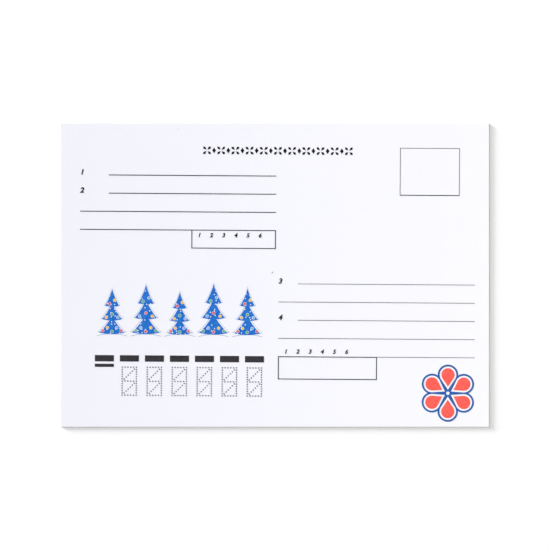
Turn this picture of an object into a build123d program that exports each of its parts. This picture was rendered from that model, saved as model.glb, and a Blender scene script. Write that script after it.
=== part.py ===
from build123d import *

import os
from math import asin, cos, radians, sin

# A postcard of A6 size: a sheet of layered board with its address side printed in black and colour.
# It lies flat, address side up. X runs along the long edge, Y up the card towards the heading and
# Z through the sheet. The origin is the middle of the underside. Sizes are in millimetres.

os.makedirs("parts", exist_ok=True)

# The sheet
card_length = 148.0
card_width = 105.0

# The layers, from the picture side up
varnish_thickness = 0.01
picture_ink_thickness = 0.01
coating_thickness = 0.02
picture_ply_thickness = 0.09
core_ply_thickness = 0.14
address_ply_thickness = 0.09

# The print as a whole: its film, and how it sits on the cut sheet
ink_thickness = 0.02
print_skew = -0.4
print_shift = 0.7
column_gap = 1.0

# Writing rules
heavy_rule = 0.3
light_rule = 0.18
line_pitch = 6.29

# Sender block, measured from the left and top edges
sender_margin = 6.45
sender_drop = 18.14
sender_label_room = 9.85
sender_rule_count = 4
sender_index_width = 29.2
sender_index_height = 6.5

# Stamp box, measured from the right and top edges
stamp_margin = 10.4
stamp_drop = 8.25
stamp_width = 20.65
stamp_height = 16.5

# Recipient block, measured from the right edge. Its last rule shares a level with the code row.
recipient_margin = 4.8
recipient_label_room = 6.8
recipient_rule_count = 5
recipient_index_width = 34.25
recipient_index_height = 8.0

# Code row, measured from the bottom edge and from the middle of the print
code_row_rise = 24.42
code_row_inset = 4.3
code_bar_length = 6.6
code_bar_height = 2.2
code_bar_gap = 2.05
code_bar_count = 7
second_bar_height = 1.1
second_bar_gap = 0.8

# Dotted digit outlines under the code bars
stencil_drop = 1.92
stencil_width = 4.9
stencil_height = 9.7
stencil_dot = 0.42
dots_across = 6
dots_down = 13
dots_on_slant = 6

# Heading: printer's flowers with lozenges between them, measured from the top edge
heading_drop = 9.55
flower_count = 11
flower_petal_count = 4
flower_petal_start = 0.3
flower_petal_length = 1.6
flower_petal_width = 0.95
flower_petal_swell = 0.95
lozenge_width = 1.3
lozenge_height = 2.0
heading_gap = 0.46

# Festive panel: a row of firs as long as the code row, with snow on their branches, baubles along the
# branches' lower edges and a drift of snow at each foot
fir_rise = 6.6
fir_gap = 0.5
fir_heights = (17.0, 18.5, 16.0, 19.0, 17.5)
trunk_width = 1.1
trunk_share = 0.08
tier_widths = (1.0, 0.8, 0.57)
tier_step = 0.27
side_sag = 0.1
belly_sag = 0.15
drift_height = 0.9
snow_depth = 0.8
snow_line = 0.22
bauble_radius = 0.48
bauble_sides = 8
bauble_ring = 0.12
bauble_lift = 0.95
bauble_stagger = 1.25
bauble_places = ((-0.64, -0.32, 0.0, 0.32, 0.64), (-0.5, 0.0, 0.5), (-0.32, 0.32))

# Corner emblem: a rosette of rounded petals round an open eye, measured from the right and bottom edges
rosette_margin = 13.95
rosette_rise = 12.05
rosette_radius = 9.9
rosette_petal_count = 6
petal_round = 3.55
rim_weight = 0.66
rim_gap = 0.6
eye_radius = 0.6


def finish(piece, name):
    """Name a finished piece and write its file."""
    piece.part.label = name
    export_step(piece.part, f"parts/{name}.step")


# Layers of the board, each glued or laid on the one below it
layers = (
    ("picture_varnish", varnish_thickness),
    ("picture_print", picture_ink_thickness),
    ("picture_coating", coating_thickness),
    ("picture_ply", picture_ply_thickness),
    ("core_ply", core_ply_thickness),
    ("address_ply", address_ply_thickness),
)
address_level = 0.0
for layer_name, layer_thickness in layers:
    with BuildPart() as layer:
        with BuildSketch(Plane.XY.offset(address_level)):
            Rectangle(card_length, card_width)
        extrude(amount=layer_thickness)
    finish(layer, layer_name)
    address_level += layer_thickness

# The print lies on the address ply, a little askew and to the right of the sheet's middle.
# In its plane x runs right from the line between the two columns, and y up from mid-height.
print_face = Plane(Location((print_shift, 0, address_level), (0, 0, print_skew)))
left_edge = -card_length / 2 - print_shift
right_edge = card_length / 2 - print_shift
top_edge = card_width / 2
bottom_edge = -card_width / 2
sender_end = -column_gap / 2
recipient_start = column_gap / 2
code_row_level = bottom_edge + code_row_rise


def print_rule(name, start, end, level, weight):
    """A straight writing rule that hangs from its level."""
    with BuildPart() as rule:
        with BuildSketch(print_face):
            with Locations((start, level)):
                Rectangle(end - start, weight, align=(Align.MIN, Align.MAX))
        extrude(amount=ink_thickness)
    finish(rule, name)


def print_frame(name, start, top, width, height, weights):
    """A ruled box. Its weights are those of its head, sides and foot, and a head of 0 is left open."""
    head, side, foot = weights
    with BuildPart() as frame:
        with BuildSketch(print_face):
            with Locations((start, top)):
                Rectangle(width, height, align=(Align.MIN, Align.MAX))
            with Locations((start + side, top - head)):
                Rectangle(
                    width - 2 * side,
                    height - head - foot,
                    align=(Align.MIN, Align.MAX),
                    mode=Mode.SUBTRACT,
                )
        extrude(amount=ink_thickness)
    finish(frame, name)


# Sender's writing rules. The first two start after the room for their labels.
sender_level = top_edge - sender_drop
for number in range(sender_rule_count):
    rule_start = left_edge + sender_margin
    if number < 2:
        rule_start += sender_label_room
    rule_level = sender_level - number * line_pitch
    print_rule(f"sender_rule_{number + 1}", rule_start, sender_end, rule_level, heavy_rule)

# Sender's code box, which hangs from the last rule and shares its end
print_frame(
    "sender_index_frame",
    sender_end - sender_index_width,
    rule_level - heavy_rule,
    sender_index_width,
    sender_index_height - heavy_rule,
    (0.0, heavy_rule, heavy_rule),
)

# Stamp box
print_frame(
    "stamp_frame",
    right_edge - stamp_margin - stamp_width,
    top_edge - stamp_drop,
    stamp_width,
    stamp_height,
    (light_rule, light_rule, heavy_rule),
)

# Recipient's writing rules. The first and third start after their labels, the last after the code box.
for number in range(recipient_rule_count):
    rule_start = recipient_start
    if number in (0, 2):
        rule_start += recipient_label_room
    if number == recipient_rule_count - 1:
        rule_start += recipient_index_width
    rule_level = code_row_level + (recipient_rule_count - 1 - number) * line_pitch
    print_rule(
        f"recipient_rule_{number + 1}",
        rule_start,
        right_edge - recipient_margin,
        rule_level,
        light_rule,
    )

# Recipient's code box
print_frame(
    "recipient_index_frame",
    recipient_start,
    code_row_level,
    recipient_index_width,
    recipient_index_height,
    (heavy_rule, heavy_rule, heavy_rule),
)

# Sorting bars of the code row, and the short second bar under the first
code_pitch = code_bar_length + code_bar_gap
last_bar_middle = -code_row_inset - code_bar_length / 2
bar_middles = [last_bar_middle - number * code_pitch for number in reversed(range(code_bar_count))]
for number, bar_middle in enumerate(bar_middles, start=1):
    with BuildPart() as bar:
        with BuildSketch(print_face):
            with Locations((bar_middle, code_row_level)):
                Rectangle(code_bar_length, code_bar_height, align=(Align.CENTER, Align.MAX))
        extrude(amount=ink_thickness)
    finish(bar, f"code_bar_{number}")

with BuildPart() as second_bar:
    with BuildSketch(print_face):
        with Locations((bar_middles[0], code_row_level - code_bar_height - second_bar_gap)):
            Rectangle(code_bar_length, second_bar_height, align=(Align.CENTER, Align.MAX))
    extrude(amount=ink_thickness)
finish(second_bar, "code_bar_second")

# Dotted digit outlines: a box with a middle line and a slant in each half, in square dots
half_stencil = stencil_height / 2
slant_steps = dots_on_slant + 1
slant_dots = []
for step in range(1, slant_steps):
    slant_x = (step / slant_steps - 0.5) * stencil_width
    slant_y = step / slant_steps * half_stencil
    slant_dots.append((slant_x, slant_y))
    slant_dots.append((slant_x, slant_y - half_stencil))

with BuildSketch() as digit_outline:
    with GridLocations(stencil_width / (dots_across - 1), half_stencil, dots_across, 3):
        Rectangle(stencil_dot, stencil_dot)
    with GridLocations(stencil_width, stencil_height / (dots_down - 1), 2, dots_down):
        Rectangle(stencil_dot, stencil_dot)
    with Locations(*slant_dots):
        Rectangle(stencil_dot, stencil_dot)

stencil_level = code_row_level - code_bar_height - stencil_drop - half_stencil
for number, bar_middle in enumerate(bar_middles[1:], start=1):
    with BuildPart() as stencil:
        with BuildSketch(print_face):
            with Locations((bar_middle, stencil_level)):
                add(digit_outline.sketch)
        extrude(amount=ink_thickness)
    finish(stencil, f"code_stencil_{number}")

# Heading: flowers of four kite-shaped petals on the diagonals, alternating with upright lozenges
flower_width = 2 * (flower_petal_start + flower_petal_length) * cos(radians(45))
heading_pitch = flower_width + lozenge_width + 2 * heading_gap
heading_level = top_edge - heading_drop

with BuildPart() as heading:
    with BuildSketch(print_face):
        with Locations((0, heading_level)):
            with GridLocations(heading_pitch, 0, flower_count, 1):
                with PolarLocations(flower_petal_start, flower_petal_count, start_angle=45):
                    Polygon(
                        (0, 0),
                        (flower_petal_swell, -flower_petal_width / 2),
                        (flower_petal_length, 0),
                        (flower_petal_swell, flower_petal_width / 2),
                        align=None,
                    )
            with GridLocations(heading_pitch, 0, flower_count - 1, 1):
                Polygon(
                    (lozenge_width / 2, 0),
                    (0, lozenge_height / 2),
                    (-lozenge_width / 2, 0),
                    (0, -lozenge_height / 2),
                )
    extrude(amount=ink_thickness)
finish(heading, "heading_border")

# Firs of the festive panel. A fir is a stack of tiers on a short trunk, each in front of the one below.
fir_foot = code_row_level + fir_rise
fir_pitch = (code_bar_count * code_pitch - code_bar_gap) / len(fir_heights)
first_fir = bar_middles[0] - code_bar_length / 2 + fir_pitch / 2
fir_middles = [first_fir + number * fir_pitch for number in range(len(fir_heights))]
widest_fir = fir_pitch - fir_gap
tier_share = 1 - trunk_share - (len(tier_widths) - 1) * tier_step


def fir_tier(half_width, height, level):
    """One tier of branches: an apex, sagging sides and a rounded lower edge, standing at its level."""
    side_x = half_width * (0.5 - side_sag)
    side_y = height / 2
    with BuildSketch() as tier:
        with BuildLine():
            ThreePointArc((0, height), (side_x, side_y), (half_width, 0))
            ThreePointArc((half_width, 0), (0, -belly_sag * half_width), (-half_width, 0))
            ThreePointArc((-half_width, 0), (-side_x, side_y), (0, height))
        make_face()
    return tier.sketch.moved(Location((0, level)))


def fir_shapes(height):
    """The tiers of one fir from the lowest up, and the points where its baubles hang."""
    half_width = widest_fir / 2 * height / max(fir_heights)
    tiers = []
    baubles = []
    for number, width_share in enumerate(tier_widths):
        tier_half = width_share * half_width
        tier_level = (trunk_share + number * tier_step) * height
        tiers.append(fir_tier(tier_half, tier_share * height, tier_level))
        for order, place in enumerate(bauble_places[number]):
            lower_edge = tier_level - belly_sag * tier_half * (1 - place**2)
            lift = bauble_lift + order % 2 * bauble_stagger
            baubles.append((place * tier_half, lower_edge + lift))
    return tiers, baubles


def fir_drift():
    """The drift of snow at the foot of a fir."""
    with BuildSketch() as drift:
        with BuildLine():
            ThreePointArc((widest_fir / 2, 0), (0, drift_height), (-widest_fir / 2, 0))
            Line((-widest_fir / 2, 0), (widest_fir / 2, 0))
        make_face()
    return drift.sketch


def fir_blue(height):
    """The inked part of one fir: its trunk, and each tier under its snow, open round the baubles."""
    tiers, baubles = fir_shapes(height)
    under_snow = [tier & tier.moved(Location((0, -snow_depth))) for tier in tiers]
    drift = fir_drift()
    with BuildSketch() as blue:
        Rectangle(trunk_width, 2 * trunk_share * height, align=(Align.CENTER, Align.MIN))
        add(drift, mode=Mode.SUBTRACT)
        for tier, inked in zip(tiers, under_snow):
            add(tier, mode=Mode.SUBTRACT)
            add(inked)
        with Locations(*baubles):
            RegularPolygon(bauble_radius + bauble_ring, bauble_sides, mode=Mode.SUBTRACT)
    return blue.sketch


def fir_snow_line(height):
    """The thin line round the snow of one fir: over the drift and each tier, and under the tiers' tips."""
    tiers, baubles = fir_shapes(height)
    over = [tier - tier.moved(Location((0, -snow_line))) for tier in tiers]
    under = [
        tier - tier.moved(Location((0, snow_line))) - tier.moved(Location((0, -snow_depth)))
        for tier in tiers
    ]
    drift = fir_drift()
    with BuildSketch() as line:
        add(drift)
        add(drift.moved(Location((0, -snow_line))), mode=Mode.SUBTRACT)
        for number, tier in enumerate(tiers):
            add(tier, mode=Mode.SUBTRACT)
            add(over[number])
            add(under[number])
        with Locations(*baubles):
            RegularPolygon(bauble_radius + bauble_ring, bauble_sides, mode=Mode.SUBTRACT)
    return line.sketch


fir_inks = {"fir_row_blue": fir_blue, "fir_row_snow_line": fir_snow_line}
for ink_name, fir_ink in fir_inks.items():
    firs = [fir_ink(fir_height) for fir_height in fir_heights]
    with BuildPart() as fir_row:
        with BuildSketch(print_face):
            for fir_middle, fir in zip(fir_middles, firs):
                with Locations((fir_middle, fir_foot)):
                    add(fir)
        extrude(amount=ink_thickness)
    finish(fir_row, ink_name)

# Baubles, in four colours that take turns along the row
bauble_centres = []
for fir_middle, fir_height in zip(fir_middles, fir_heights):
    for bauble_x, bauble_y in fir_shapes(fir_height)[1]:
        bauble_centres.append((fir_middle + bauble_x, fir_foot + bauble_y))

bauble_colours = ("red", "yellow", "green", "pale")
for number, colour in enumerate(bauble_colours):
    with BuildPart() as baubles:
        with BuildSketch(print_face):
            with Locations(*bauble_centres[number :: len(bauble_colours)]):
                RegularPolygon(bauble_radius, bauble_sides)
        extrude(amount=ink_thickness)
    finish(baubles, f"fir_baubles_{colour}")

# Corner emblem: petals that widen from the middle to a round end. Their rims run together round a hub,
# and each holds a filled heart.
petal_middle = rosette_radius - petal_round
petal_flare = asin(petal_round / petal_middle)
hub_radius = rim_weight / sin(petal_flare)
rosette_middle = (right_edge - rosette_margin, bottom_edge + rosette_rise)


def rosette_petal(inset):
    """One petal along x from the middle of the rosette, drawn in by an inset all round."""
    end_radius = petal_round - inset
    side_x = petal_middle - end_radius * sin(petal_flare)
    side_y = end_radius * cos(petal_flare)
    point = (inset / sin(petal_flare), 0)
    with BuildSketch() as petal:
        with BuildLine():
            Line(point, (side_x, -side_y))
            ThreePointArc((side_x, -side_y), (petal_middle + end_radius, 0), (side_x, side_y))
            Line((side_x, side_y), point)
        make_face()
    return petal.sketch


outer_petal = rosette_petal(0)
rim_opening = rosette_petal(rim_weight)
petal_heart = rosette_petal(rim_weight + rim_gap)

with BuildPart() as rosette_blue:
    with BuildSketch(print_face):
        with Locations(rosette_middle):
            Circle(hub_radius)
            with PolarLocations(0, rosette_petal_count, start_angle=90):
                add(outer_petal)
            with PolarLocations(0, rosette_petal_count, start_angle=90):
                add(rim_opening, mode=Mode.SUBTRACT)
            Circle(eye_radius, mode=Mode.SUBTRACT)
    extrude(amount=ink_thickness)
finish(rosette_blue, "rosette_blue")

with BuildPart() as rosette_red:
    with BuildSketch(print_face):
        with Locations(rosette_middle):
            with PolarLocations(0, rosette_petal_count, start_angle=90):
                add(petal_heart)
    extrude(amount=ink_thickness)
finish(rosette_red, "rosette_red")
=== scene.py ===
from math import cos, pi, radians, sin, tan

import bmesh
import bpy
from mathutils import Matrix, Vector


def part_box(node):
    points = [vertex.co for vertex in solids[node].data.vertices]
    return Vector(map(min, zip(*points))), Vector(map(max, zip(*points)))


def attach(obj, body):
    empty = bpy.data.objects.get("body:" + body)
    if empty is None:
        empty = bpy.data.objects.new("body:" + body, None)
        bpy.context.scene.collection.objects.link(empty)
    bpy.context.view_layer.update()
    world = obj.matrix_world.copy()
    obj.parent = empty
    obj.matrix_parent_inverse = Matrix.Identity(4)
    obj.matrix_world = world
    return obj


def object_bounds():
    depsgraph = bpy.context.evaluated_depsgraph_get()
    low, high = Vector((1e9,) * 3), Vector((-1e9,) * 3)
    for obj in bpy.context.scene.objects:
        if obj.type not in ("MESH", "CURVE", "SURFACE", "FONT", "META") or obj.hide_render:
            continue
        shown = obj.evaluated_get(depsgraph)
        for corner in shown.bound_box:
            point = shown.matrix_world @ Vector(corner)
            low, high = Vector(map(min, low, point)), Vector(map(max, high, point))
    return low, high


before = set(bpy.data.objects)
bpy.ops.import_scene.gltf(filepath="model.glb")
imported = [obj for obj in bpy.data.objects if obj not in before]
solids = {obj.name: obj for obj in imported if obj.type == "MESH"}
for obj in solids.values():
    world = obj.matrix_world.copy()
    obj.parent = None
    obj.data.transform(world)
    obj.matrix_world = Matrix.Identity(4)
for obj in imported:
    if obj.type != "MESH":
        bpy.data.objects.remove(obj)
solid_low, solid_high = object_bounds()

# A postcard of A6 size that lies flat with its address side up. Sizes are in metres, in the frame of the
# solids: X runs along the long edge, Y up the card and Z through the sheet.

# Board plies. Three layers of bleached wood pulp are pressed together wet: a bulky middle ply between
# two finer ones. The upper ply is the bare address face, and the guillotined edges show all three.
mm = 0.001
card_length = solid_high.x - solid_low.x
card_width = solid_high.y - solid_low.y


class Socket:
    """An output of a shader node, or the start of a tree. Sums and products add Math nodes."""

    def __init__(self, tree, output=None):
        self.tree = tree
        self.output = output

    def node(self, kind, settings, inputs, output=0):
        """Add a node, set it up, fill its inputs with values or sockets and give one output."""
        made = self.tree.nodes.new(kind)
        for name, value in settings.items():
            setattr(made, name, value)
        fill_inputs(self.tree, made, inputs)
        return Socket(self.tree, made.outputs[output])

    def beside(self, name):
        """Another output of the same node."""
        return Socket(self.tree, self.output.node.outputs[name])

    def math(self, operation, *values):
        return self.node("ShaderNodeMath", {"operation": operation}, dict(enumerate(values)))

    def __add__(self, other):
        return self.math("ADD", self, other)

    def __radd__(self, other):
        return self.math("ADD", other, self)

    def __sub__(self, other):
        return self.math("SUBTRACT", self, other)

    def __rsub__(self, other):
        return self.math("SUBTRACT", other, self)

    def __mul__(self, other):
        return self.math("MULTIPLY", self, other)

    def __rmul__(self, other):
        return self.math("MULTIPLY", other, self)

    def __abs__(self):
        return self.math("ABSOLUTE", self)

    def __lt__(self, other):
        return self.math("LESS_THAN", self, other)

    def stretched(self, x, y, z):
        """These coordinates with each axis multiplied by a number."""
        return self.node("ShaderNodeVectorMath", {"operation": "MULTIPLY"}, {0: self, 1: (x, y, z)})

    def axis(self, name):
        """One of these coordinates, as a number."""
        return self.node("ShaderNodeSeparateXYZ", {}, {"Vector": self}, output=name)

    def noise(self, grain, detail=2.0):
        """Soft noise over these coordinates, from 0 to 1, with features about a grain across."""
        inputs = {"Vector": self, "Scale": 1 / grain, "Detail": detail}
        return self.node("ShaderNodeTexNoise", {}, inputs)

    def ramp(self, start, end):
        """A smooth rise from 0, where this socket is at the start, to 1 at the end."""
        inputs = {"Value": self, "From Min": start, "From Max": end}
        return self.node("ShaderNodeMapRange", {"interpolation_type": "SMOOTHSTEP"}, inputs)

    def tint(self, low, high):
        """A colour that goes from low, where this socket is 0, to high at 1."""
        return self.node("ShaderNodeMix", {"data_type": "RGBA"}, {0: self, 6: low, 7: high}, output=2)

    def relief(self, depth):
        """A normal for a surface that stands as high as this socket times a depth."""
        return self.node("ShaderNodeBump", {}, {"Height": self, "Distance": depth, "Strength": 1.0})


def fill_inputs(tree, node, inputs):
    """Set a node's inputs to values, or link them to sockets."""
    for name, value in inputs.items():
        if isinstance(value, Socket):
            tree.links.new(value.output, node.inputs[name])
        else:
            node.inputs[name].default_value = value


def shown(red, green, blue):
    """A colour given as it shows on a screen, each part from 0 to 255, in Blender's linear values."""
    parts = [part / 255 for part in (red, green, blue)]
    linear = [p / 12.92 if p <= 0.04045 else ((p + 0.055) / 1.055) ** 2.4 for p in parts]
    return (*linear, 1.0)


def begin_material(name):
    """A new material with a plain shader, and the coordinates that its patterns follow."""
    material = bpy.data.materials.new(name)
    material.use_nodes = True
    place = Socket(material.node_tree).node("ShaderNodeTexCoord", {}, {}, output="Object")
    return material, place


def finish_material(material, inputs):
    """Fill in the shader of a material."""
    shader = material.node_tree.nodes["Principled BSDF"]
    fill_inputs(material.node_tree, shader, inputs)


def coat(material, *names):
    """Give solids a material."""
    for name in names:
        solids[name].data.materials.clear()
        solids[name].data.materials.append(material)


cloud_size = 7 * mm
mottle_size = 1.0 * mm
pulp_fleck_size = 0.6 * mm
fibre_stretch = 0.4
fibre_height = 0.0012 * mm
# How far in from the edges the grey band reaches. The band is partly the board's own greyer edge and
# partly painted shade.
edge_grey_and_shade_full = 0.01 * mm
edge_grey_and_shade_gone = 0.04 * mm


def pulp(name, pale, dull, fleck, fibre, cut_grey_and_shade):
    """Pressed wood pulp: cloudy where the fibres lie thicker, with fine fibres along the sheet and a few
    dark flecks. A grey band runs round the guillotined edges and their walls. It is partly the greyer
    edge of the board itself and partly painted shade, darker than a clean edge, that tones down the low
    light there."""
    material, place = begin_material(name)
    clouds = place.noise(cloud_size, detail=3.0)
    mottle = place.noise(mottle_size)
    fibres = place.stretched(fibre_stretch, 1.0, 1.0).noise(fibre, detail=4.0)
    flecks = place.noise(pulp_fleck_size).ramp(0.77, 0.83)
    shade = (0.35 * clouds + 0.3 * mottle + 0.35 * fibres).ramp(0.3, 0.7)
    sheet = flecks.tint(shade.tint(dull, pale), fleck)
    to_end = card_length / 2 - abs(place.axis("X"))
    to_side = card_width / 2 - abs(place.axis("Y"))
    # The edge band: a grey that is partly the board's own and partly painted shade.
    cut_and_shade = 1 - place.math("MINIMUM", to_end, to_side).ramp(edge_grey_and_shade_full, edge_grey_and_shade_gone)
    finish_material(
        material,
        {
            "Base Color": cut_and_shade.tint(sheet, cut_grey_and_shade),
            "Roughness": 0.82 + 0.16 * fibres,
            "Specular IOR Level": 0.01,
            "Normal": fibres.relief(fibre_height),
        },
    )
    return material


# The edge greys are darker than a clean board edge. The difference is painted shade.
fine_pulp = pulp(
    "bleached_pulp",
    pale=shown(249, 249, 255),
    dull=shown(247, 247, 254),
    fleck=shown(236, 236, 242),
    fibre=0.3 * mm,
    cut_grey_and_shade=shown(175, 174, 175),
)
bulky_pulp = pulp(
    "bulky_pulp",
    pale=shown(240, 239, 237),
    dull=shown(228, 226, 223),
    fleck=shown(205, 201, 196),
    fibre=0.2 * mm,
    cut_grey_and_shade=shown(165, 162, 159),
)
coat(fine_pulp, "address_ply", "picture_ply")
coat(bulky_pulp, "core_ply")

# Clay coating. A smooth white layer of clay and binder on the picture side, which keeps the ink from
# sinking in. Only its edge shows.
clay, place = begin_material("clay_coating")
clay_grain = place.noise(0.15 * mm, detail=3.0)
finish_material(
    clay,
    {
        "Base Color": clay_grain.tint(shown(244, 243, 241), shown(251, 251, 250)),
        "Roughness": 0.34 + 0.1 * clay_grain,
        "Specular IOR Level": 0.35,
        "Normal": clay_grain.relief(0.0006 * mm),
    },
)
coat(clay, "picture_coating")


# Picture. A film of process inks printed to the edges of the card: falling snow over two white hills
# under a winter sky. It faces down, so its top is towards the heading of the other side.
def hill(place, crest, rise, width, lean):
    """1 below the crest of a rolling hill and 0 above it."""
    wave = place.math("SINE", place.axis("X") * (2 * pi / width) + lean)
    return (crest + rise * wave - place.axis("Y")).ramp(-crest_blur, crest_blur)


def flakes(place, spacing, radius, share):
    """1 on round flakes of snow, scattered so that a share of the cells holds one, and 0 elsewhere."""
    cells = {"Vector": place, "Scale": 1 / spacing, "Randomness": 0.75}
    spots = place.node("ShaderNodeTexVoronoi", {"voronoi_dimensions": "2D"}, cells)
    chosen = place.node("ShaderNodeSeparateColor", {}, {"Color": spots.beside("Color")}) < share
    edge = radius / spacing
    return chosen * (1 - spots.ramp(0.8 * edge, 1.1 * edge))


def winter(place):
    """The colours of the picture."""
    sky = place.axis("Y").ramp(sky_foot, sky_top).tint(shown(168, 205, 238), shown(38, 92, 168))
    far_hill = hill(place, crest=-14 * mm, rise=5 * mm, width=120 * mm, lean=0.6)
    near_hill = hill(place, crest=-30 * mm, rise=6 * mm, width=170 * mm, lean=3.4)
    land = near_hill.tint(far_hill.tint(sky, shown(214, 229, 245)), shown(242, 247, 253))
    large_flakes = flakes(place, spacing=9 * mm, radius=0.9 * mm, share=0.5)
    small_flakes = flakes(place, spacing=4 * mm, radius=0.4 * mm, share=0.6)
    snow = place.math("MAXIMUM", large_flakes, small_flakes)
    return snow.tint(land, shown(252, 253, 255))


crest_blur = 0.25 * mm
sky_foot = -30 * mm
sky_top = 50 * mm
picture_ink, place = begin_material("picture_ink")
finish_material(
    picture_ink,
    {
        "Base Color": winter(place),
        "Roughness": 0.5 + 0.1 * place.noise(0.2 * mm),
        "Specular IOR Level": 0.3,
    },
)
coat(picture_ink, "picture_print")

# Varnish. A thin gloss film rolled over the picture, with the faint ripple of the roller. It is clear,
# so what it shows is the picture that it lies on, under a polished coat.
ripple_length = 1.5 * mm
ripple_stretch = 0.3
ripple_height = 0.002 * mm
varnish, place = begin_material("gloss_varnish")
ripple = place.stretched(ripple_stretch, 1.0, 1.0).noise(ripple_length)
finish_material(
    varnish,
    {
        "Base Color": winter(place),
        "Roughness": 0.3 + 0.08 * ripple,
        "Coat Weight": 0.9,
        "Coat Roughness": 0.06,
        "Normal": ripple.relief(ripple_height),
    },
)
coat(varnish, "picture_varnish")


# Black print. Rules, boxes, sorting bars, dotted digit outlines and the heading are offset printed in
# one black, which sinks unevenly into the bare pulp and leaves pinholes and faint streaks along the
# sheet. It stands dense in the heading and the lines, and thinner in the wide bars and the small dots.
def ink_film(name, deep, thin, pinholes):
    """A film of ink on bare pulp, mottled from deep to thin. A share of each pinhole is open."""
    material, place = begin_material(name)
    mottle = place.noise(ink_mottle_size, detail=3.0)
    streaks = place.stretched(streak_stretch, 1.0, 1.0).noise(streak_width)
    pores = place.noise(pinhole_size, detail=1.0).ramp(0.66, 0.8)
    uptake = (0.6 * mottle + 0.4 * streaks).ramp(0.3, 0.7)
    finish_material(
        material,
        {
            "Base Color": (pinholes * pores).tint(uptake.tint(deep, thin), bare_pulp),
            "Roughness": 0.76 + 0.18 * mottle,
            "Specular IOR Level": 0.02,
            "Normal": pores.relief(-pinhole_depth),
        },
    )
    return material


ink_mottle_size = 0.9 * mm
streak_width = 0.35 * mm
streak_stretch = 0.12
pinhole_size = 0.11 * mm
pinhole_depth = 0.001 * mm
bare_pulp = shown(247, 248, 253)
black_ink = ink_film("black_ink", shown(24, 22, 24), shown(36, 34, 36), pinholes=0.1)
thin_black_ink = ink_film("thin_black_ink", shown(53, 50, 53), shown(65, 62, 65), pinholes=0.1)
dense_prints = ("heading_", "sender_", "stamp_", "recipient_")
coat(black_ink, *[name for name in solids if name.startswith(dense_prints)])
coat(thin_black_ink, *[name for name in solids if name.startswith("code_")])

# Field numbers. Plain slanted numerals in the same black ink stand on the writing rules where a field
# begins, and a row of small ones at each code box numbers the places of its digits.
address_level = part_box("address_ply")[1].z
ink_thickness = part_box("stamp_frame")[1].z - address_level
print_skew = radians(-0.4)
merge_distance = 0.0001 * mm
digit_share_of_type = 0.7
digit_swell = 0.06
digit_slant = 0.22
digit_curve_steps = 3


def rule_level(name, x):
    """How high up the card the head of a printed rule or box, or its line carried on, lies at an x."""
    low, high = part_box(name)
    return high.y + (x - low.x) * tan(print_skew)


def add_piece(name, meshes, material):
    """Join meshes into one closed piece of the card."""
    build = bmesh.new()
    for mesh in meshes:
        build.from_mesh(mesh)
        bpy.data.meshes.remove(mesh)
    bmesh.ops.remove_doubles(build, verts=build.verts, dist=merge_distance)
    bmesh.ops.recalc_face_normals(build, faces=build.faces)
    joined = bpy.data.meshes.new(name)
    build.to_mesh(joined)
    build.free()
    joined.materials.append(material)
    piece = bpy.data.objects.new(name, joined)
    bpy.context.scene.collection.objects.link(piece)
    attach(piece, "root")


def digit_mesh(digit, height, x, y):
    """A bold slanted numeral of ink whose lower left corner stands at a point of the address face."""
    text = bpy.data.curves.new("digit", "FONT")
    text.body = digit
    text.size = height / digit_share_of_type
    text.offset = digit_swell * height
    text.shear = digit_slant
    text.resolution_u = digit_curve_steps
    text.extrude = ink_thickness / 2
    letter = bpy.data.objects.new("digit", text)
    bpy.context.scene.collection.objects.link(letter)
    bpy.context.view_layer.update()
    mesh = bpy.data.meshes.new_from_object(letter)
    corner = Matrix.Translation((x, y, address_level + ink_thickness / 2))
    mesh.transform(corner @ Matrix.Rotation(print_skew, 4, "Z"))
    bpy.data.objects.remove(letter)
    bpy.data.curves.remove(text)
    return mesh


field_height = 1.75 * mm
fields = {
    "1": ("sender_rule_1", "sender_rule_3"),
    "2": ("sender_rule_2", "sender_rule_3"),
    "3": ("recipient_rule_1", "recipient_rule_2"),
    "4": ("recipient_rule_3", "recipient_rule_2"),
}
field_digits = []
for digit, (rule, full_rule) in fields.items():
    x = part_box(full_rule)[0].x
    field_digits.append(digit_mesh(digit, field_height, x, rule_level(rule, x)))
add_piece("field_numbers", field_digits, black_ink)

code_height = 1.4 * mm
code_inset = 2.2 * mm
code_spacing = 4.2 * mm
code_lifts = {"sender": -2.25 * mm, "recipient": 1.0 * mm}
for block, lift in code_lifts.items():
    box_name = f"{block}_index_frame"
    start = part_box(box_name)[0].x + code_inset
    code_digits = []
    for number, digit in enumerate("123456"):
        x = start + number * code_spacing
        code_digits.append(digit_mesh(digit, code_height, x, rule_level(box_name, x) + lift))
    add_piece(f"{block}_code_numbers", code_digits, black_ink)


# Festive panel. A row of blue firs with coloured baubles, printed in process inks. White flakes are left
# out of the blue, and a pale line rounds off the snow that is bare pulp.
def screened_ink(name, deep, thin, flake_share=0.0):
    """A process ink laid down as a fine screen of dots, mottled, and open over a share of flakes."""
    material, place = begin_material(name)
    mottle = place.noise(screen_mottle_size, detail=3.0)
    turned = place.node("ShaderNodeMapping", {}, {"Vector": place, "Rotation": (0, 0, screen_turn)})
    rows = place.math("SINE", turned.axis("X") * (2 * pi / screen_pitch))
    columns = place.math("SINE", turned.axis("Y") * (2 * pi / screen_pitch))
    dots = 0.5 + 0.25 * (rows + columns)
    uptake = (0.75 * mottle + 0.25 * dots).ramp(0.3, 0.7)
    colour = uptake.tint(deep, thin)
    if flake_share:
        open_flakes = flakes(place, spacing=1.5 * mm, radius=0.2 * mm, share=flake_share)
        colour = open_flakes.tint(colour, bare_pulp)
    finish_material(
        material,
        {
            "Base Color": colour,
            "Roughness": 0.76 + 0.18 * mottle,
            "Specular IOR Level": 0.02,
        },
    )
    return material


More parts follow.
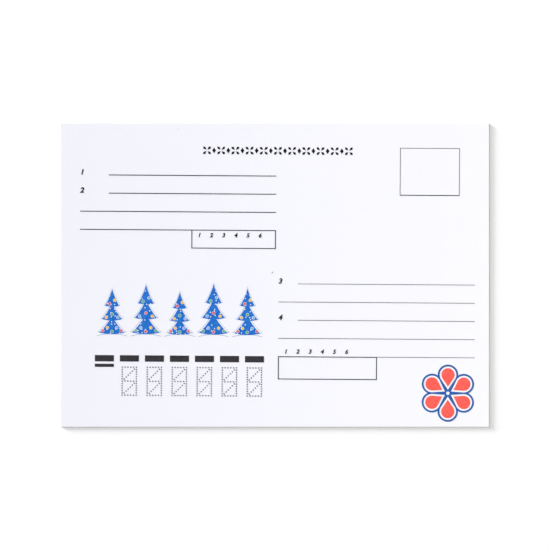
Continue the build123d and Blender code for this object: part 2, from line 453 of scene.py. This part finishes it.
screen_mottle_size = 0.7 * mm
screen_pitch = 0.17 * mm
screen_turn = radians(15)
blue_ink = screened_ink("blue_ink", shown(28, 102, 196), shown(56, 131, 217), flake_share=0.6)
coat(blue_ink, "fir_row_blue")
coat(screened_ink("snow_line_ink", shown(172, 190, 221), shown(190, 204, 229)), "fir_row_snow_line")
coat(screened_ink("red_ink", shown(236, 92, 88), shown(246, 116, 110)), "fir_baubles_red")
coat(screened_ink("yellow_ink", shown(252, 196, 74), shown(253, 209, 98)), "fir_baubles_yellow")
coat(screened_ink("green_ink", shown(84, 170, 98), shown(116, 192, 136)), "fir_baubles_green")
coat(screened_ink("pale_blue_ink", shown(136, 183, 227), shown(156, 198, 234)), "fir_baubles_pale")

# Corner emblem. A rosette of six rounded petals, each with a clear red heart inside a rim of darker
# blue. Both inks are screened, and printed in the same pass as the firs.
coat(screened_ink("emblem_blue_ink", shown(44, 88, 161), shown(64, 106, 176)), "rosette_blue")
coat(screened_ink("emblem_red_ink", shown(251, 88, 80), shown(254, 112, 102)), "rosette_red")

# Stray flecks. A short hair of ink beside the middle of the card and two pale specks that the press
# left. They are thinner than the print, and soaked into the pulp, so they show as grey ovals.
fleck_ink = ink_film("fleck_ink", shown(120, 122, 136), shown(150, 152, 164), pinholes=0.3)
fleck_thickness = ink_thickness / 2
fleck_sides = 8


def fleck_mesh(x, y, length, width, turn):
    """A thin oval of ink round a point of the address face."""
    angles = [2 * pi * n / fleck_sides for n in range(fleck_sides)]
    rim = [(length / 2 * cos(angle), width / 2 * sin(angle)) for angle in angles]
    points = [(*point, level) for level in (0, fleck_thickness) for point in rim]
    lower = tuple(reversed(range(fleck_sides)))
    upper = tuple(range(fleck_sides, 2 * fleck_sides))
    sides = []
    for first in range(fleck_sides):
        second = (first + 1) % fleck_sides
        sides.append((first, second, second + fleck_sides, first + fleck_sides))
    mesh = bpy.data.meshes.new("fleck")
    mesh.from_pydata(points, [], [lower, upper, *sides])
    middle = Matrix.Translation((x, y, address_level))
    mesh.transform(middle @ Matrix.Rotation(turn, 4, "Z"))
    return mesh


hair = fleck_mesh(-0.9 * mm, 0.85 * mm, length=1.1 * mm, width=0.24 * mm, turn=radians(40))
stamp_speck = fleck_mesh(50.3 * mm, 37.0 * mm, length=0.22 * mm, width=0.16 * mm, turn=0.0)
edge_speck = fleck_mesh(-33.5 * mm, 50.5 * mm, length=0.7 * mm, width=0.1 * mm, turn=radians(10))
add_piece("stray_flecks", [hair, stamp_speck, edge_speck], fleck_ink)

# Floor. A large white table under the card. It is paler on the left, away from the softbox, so that the
# picture is evenly white all round the card, and it fades to white further off.
table_half = 2.0
table_gap = 0.01 * mm
table_level = solid_low.z - table_gap
table_corners = [
    (-table_half, -table_half, table_level),
    (table_half, -table_half, table_level),
    (table_half, table_half, table_level),
    (-table_half, table_half, table_level),
]
table_mesh = bpy.data.meshes.new("table")
table_mesh.from_pydata(table_corners, [], [(0, 1, 2, 3)])
table = bpy.data.objects.new("table", table_mesh)
bpy.context.scene.collection.objects.link(table)


def in_view(tree):
    """1 for a ray that shows something, straight or by gloss or glass, and 0 for one that lights it."""
    rays = Socket(tree).node("ShaderNodeLightPath", {}, {}, output="Is Camera Ray")
    return rays + rays.beside("Is Glossy Ray") + rays.beside("Is Transmission Ray")


gradient_reach = 0.65 * card_length
left_white = (0.955, 0.955, 0.96, 1.0)
right_white = (0.885, 0.885, 0.9, 1.0)
fade_start = card_length
fade_end = 5 * card_length
near_glow = (0.11, 0.11, 0.11, 1.0)
far_glow = (0.5, 0.5, 0.5, 1.0)
no_glow = (0.0, 0.0, 0.0, 1.0)
table_white, place = begin_material("table_white")
to_softbox = place.axis("X").ramp(-gradient_reach, gradient_reach)
away = place.node("ShaderNodeVectorMath", {"operation": "LENGTH"}, {0: place}, output="Value")
glow = away.ramp(fade_start, fade_end).tint(near_glow, far_glow)
finish_material(
    table_white,
    {
        "Base Color": to_softbox.tint(left_white, right_white),
        "Roughness": 1.0,
        "Specular IOR Level": 0.0,
        "Emission Color": in_view(table_white.node_tree).tint(no_glow, glow),
        "Emission Strength": 1.0,
    },
)
table_mesh.materials.append(table_white)

# Light. A low window at the upper left and the sky above it throw the short soft shadow, and a softbox
# overhead to the right and the white room fill the rest. Together they light a white sheet to white.
window_bearing = radians(147)


def add_window(name, share, elevation, spread):
    """A soft lamp that gives a level sheet its share of the light."""
    lamp = bpy.data.lights.new(name, "SUN")
    lamp.energy = pi * share / sin(elevation)
    lamp.angle = spread
    towards = Vector((cos(window_bearing), sin(window_bearing), tan(elevation)))
    stand = bpy.data.objects.new(name, lamp)
    stand.rotation_mode = "QUATERNION"
    stand.rotation_quaternion = towards.to_track_quat("Z", "Y")
    bpy.context.scene.collection.objects.link(stand)


add_window("window", share=0.34, elevation=radians(6), spread=radians(11.5))
add_window("sky", share=0.35, elevation=radians(32), spread=radians(48))

softbox_share = 0.24
softbox_side = 0.3
softbox_tint = (1.0, 1.0, 0.6)
softbox_place = Vector((0.45, 0.0, 0.7))
softbox = bpy.data.lights.new("softbox", "AREA")
softbox.shape = "SQUARE"
softbox.size = softbox_side
softbox.energy = softbox_share * pi**2 * softbox_place.length**4 / softbox_place.z**2
softbox.color = softbox_tint
softbox_stand = bpy.data.objects.new("softbox", softbox)
softbox_stand.location = softbox_place
bpy.context.scene.collection.objects.link(softbox_stand)

room_fill = (0.07, 0.07, 0.168, 1.0)
room_white = (1.0, 1.0, 1.0, 1.0)
room = bpy.data.worlds.new("room")
room.use_nodes = True
bpy.context.scene.world = room
room_colour = in_view(room.node_tree).tint(room_fill, room_white)
background = room.node_tree.nodes["Background"]
fill_inputs(room.node_tree, background, {"Color": room_colour, "Strength": 1.0})

# Camera. It looks straight down with the heading at the top, from as far as makes the card 428 of the
# picture's 550 pixels long.
picture_pixels = 550
card_pixels = 428
camera_data = bpy.data.cameras.new("camera")
camera_data.lens = 85.0
camera_data.sensor_width = 36.0
picture_width = card_length * picture_pixels / card_pixels
camera = bpy.data.objects.new("camera", camera_data)
camera.location = (0.0, 0.0, address_level + picture_width * camera_data.lens / camera_data.sensor_width)
bpy.context.scene.collection.objects.link(camera)
bpy.context.scene.camera = camera
bpy.context.scene.view_settings.view_transform = "Standard"
